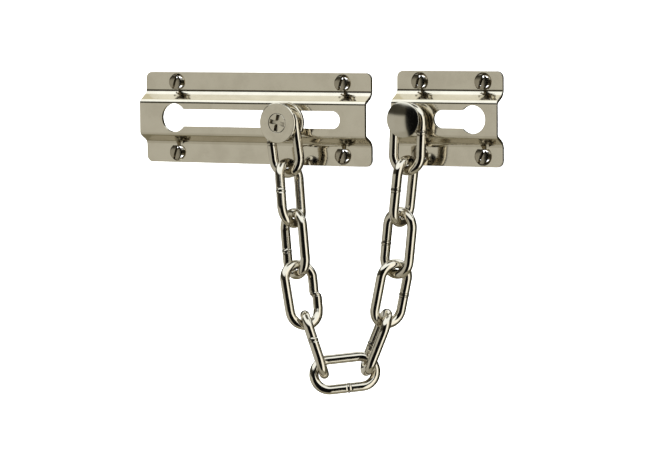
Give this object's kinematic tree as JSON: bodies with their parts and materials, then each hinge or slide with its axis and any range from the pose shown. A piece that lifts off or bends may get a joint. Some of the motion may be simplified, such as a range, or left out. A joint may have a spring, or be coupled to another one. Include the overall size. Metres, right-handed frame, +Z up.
{
  "type": "door chain guard",
  "caption": "Door chain guard: a slotted plate with a sliding stud, a short welded chain, and a keyhole plate with a rivet, fixed with countersunk screws.",
  "frame": {"origin": "middle of the door plate's back face, on the door's surface", "axes": "+X along the slot towards the door frame, +Z up, -Y out of the door towards the room"},
  "size_m": [0.1857, 0.0488, 0.1437],
  "materials": {
    "plate": "polished nickel plating, faintly warm",
    "chain": "bright nickel plating over welded wire",
    "stud": "turned and nickel plated",
    "rivet": "domed and nickel plated",
    "screw": "nickel plated, darker in the slot"
  },
  "bodies": {
    "plates": {"door_plate": "plate", "frame_plate": "plate", "frame_rivet": "rivet", "door_screw_1": "screw", "door_screw_2": "screw", "door_screw_3": "screw", "door_screw_4": "screw", "frame_screw_1": "screw", "frame_screw_2": "screw", "frame_screw_3": "screw", "frame_screw_4": "screw"},
    "slide_stud": {"stud_sleeve": "stud", "stud_collar": "stud", "stud_cap": "stud", "stud_screw": "stud"},
    "link_01": {"chain_link_01": "chain"},
    "link_02": {"chain_link_02": "chain"},
    "link_03": {"chain_link_03": "chain"},
    "link_04": {"chain_link_04": "chain"},
    "link_05": {"chain_link_05": "chain"},
    "link_06": {"chain_link_06": "chain"},
    "link_07": {"chain_link_07": "chain"},
    "link_08": {"chain_link_08": "chain"},
    "link_09": {"chain_link_09": "chain"},
    "link_10": {"chain_link_10": "chain"},
    "link_11": {"chain_link_11": "chain"}
  },
  "joints": [
    {"name": "stud_slide", "type": "slide", "parent": "plates", "child": "slide_stud", "axis": [1, 0, 0], "range_m": [-0.0612, 0.0233]},
    {"name": "link_01_swing", "type": "hinge", "parent": "slide_stud", "child": "link_01", "pos_m": [0.02, -0.0121, -0.00125], "axis": [0, -1, 0], "range_deg": [-7.34, 18.47]},
    {"name": "link_02_swing", "type": "hinge", "parent": "link_01", "child": "link_02", "pos_m": [0.02288, -0.0116, -0.02175], "axis": [0, -1, 0], "range_deg": [-4.17, 1.9]},
    {"name": "link_03_swing", "type": "hinge", "parent": "link_02", "child": "link_03", "pos_m": [0.02791, -0.01688, -0.0439], "axis": [0, -1, 0], "range_deg": [-2.15, 4.83]},
    {"name": "link_04_swing", "type": "hinge", "parent": "link_03", "child": "link_04", "pos_m": [0.03195, -0.02006, -0.06664], "axis": [0, -1, 0], "range_deg": [-3.06, 1.48]},
    {"name": "link_05_swing", "type": "hinge", "parent": "link_04", "child": "link_05", "pos_m": [0.03807, -0.02342, -0.08887], "axis": [0, -1, 0], "range_deg": [-2.26, 1.17]},
    {"name": "link_06_swing", "type": "hinge", "parent": "link_05", "child": "link_06", "pos_m": [0.04816, -0.02457, -0.11241], "axis": [0, -1, 0], "range_deg": [-20.62, 8.16]},
    {"name": "link_07_swing", "type": "hinge", "parent": "link_06", "child": "link_07", "pos_m": [0.0575, -0.0098, -0.1107], "axis": [0, -1, 0], "range_deg": [-6.45, 2.77]},
    {"name": "link_08_swing", "type": "hinge", "parent": "link_07", "child": "link_08", "pos_m": [0.07192, -0.01005, -0.08799], "axis": [0, -1, 0], "range_deg": [-5.26, 2.31]},
    {"name": "link_09_swing", "type": "hinge", "parent": "link_08", "child": "link_09", "pos_m": [0.07729, -0.01054, -0.06531], "axis": [0, -1, 0], "range_deg": [-2.2, 1.15]},
    {"name": "link_10_swing", "type": "hinge", "parent": "link_09", "child": "link_10", "pos_m": [0.08011, -0.01104, -0.04218], "axis": [0, -1, 0], "range_deg": [-1.4, 2.86]},
    {"name": "link_11_swing", "type": "hinge", "parent": "link_10", "child": "link_11", "pos_m": [0.08362, -0.01187, -0.01915], "axis": [0, -1, 0], "range_deg": [-3.13, 1.5]}
  ],
  "couplings": [
    {"joint": "link_01_swing", "follows": "stud_slide", "rad_per_m": -5.126},
    {"joint": "link_02_swing", "follows": "stud_slide", "rad_per_m": 1.0455},
    {"joint": "link_03_swing", "follows": "stud_slide", "rad_per_m": -1.2357},
    {"joint": "link_04_swing", "follows": "stud_slide", "rad_per_m": 0.7313},
    {"joint": "link_05_swing", "follows": "stud_slide", "rad_per_m": 0.5009},
    {"joint": "link_06_swing", "follows": "stud_slide", "rad_per_m": 5.7369},
    {"joint": "link_07_swing", "follows": "stud_slide", "rad_per_m": 1.6982},
    {"joint": "link_08_swing", "follows": "stud_slide", "rad_per_m": 1.3561},
    {"joint": "link_09_swing", "follows": "stud_slide", "rad_per_m": 0.4852},
    {"joint": "link_10_swing", "follows": "stud_slide", "rad_per_m": -0.672},
    {"joint": "link_11_swing", "follows": "stud_slide", "rad_per_m": 0.7487}
  ]
}
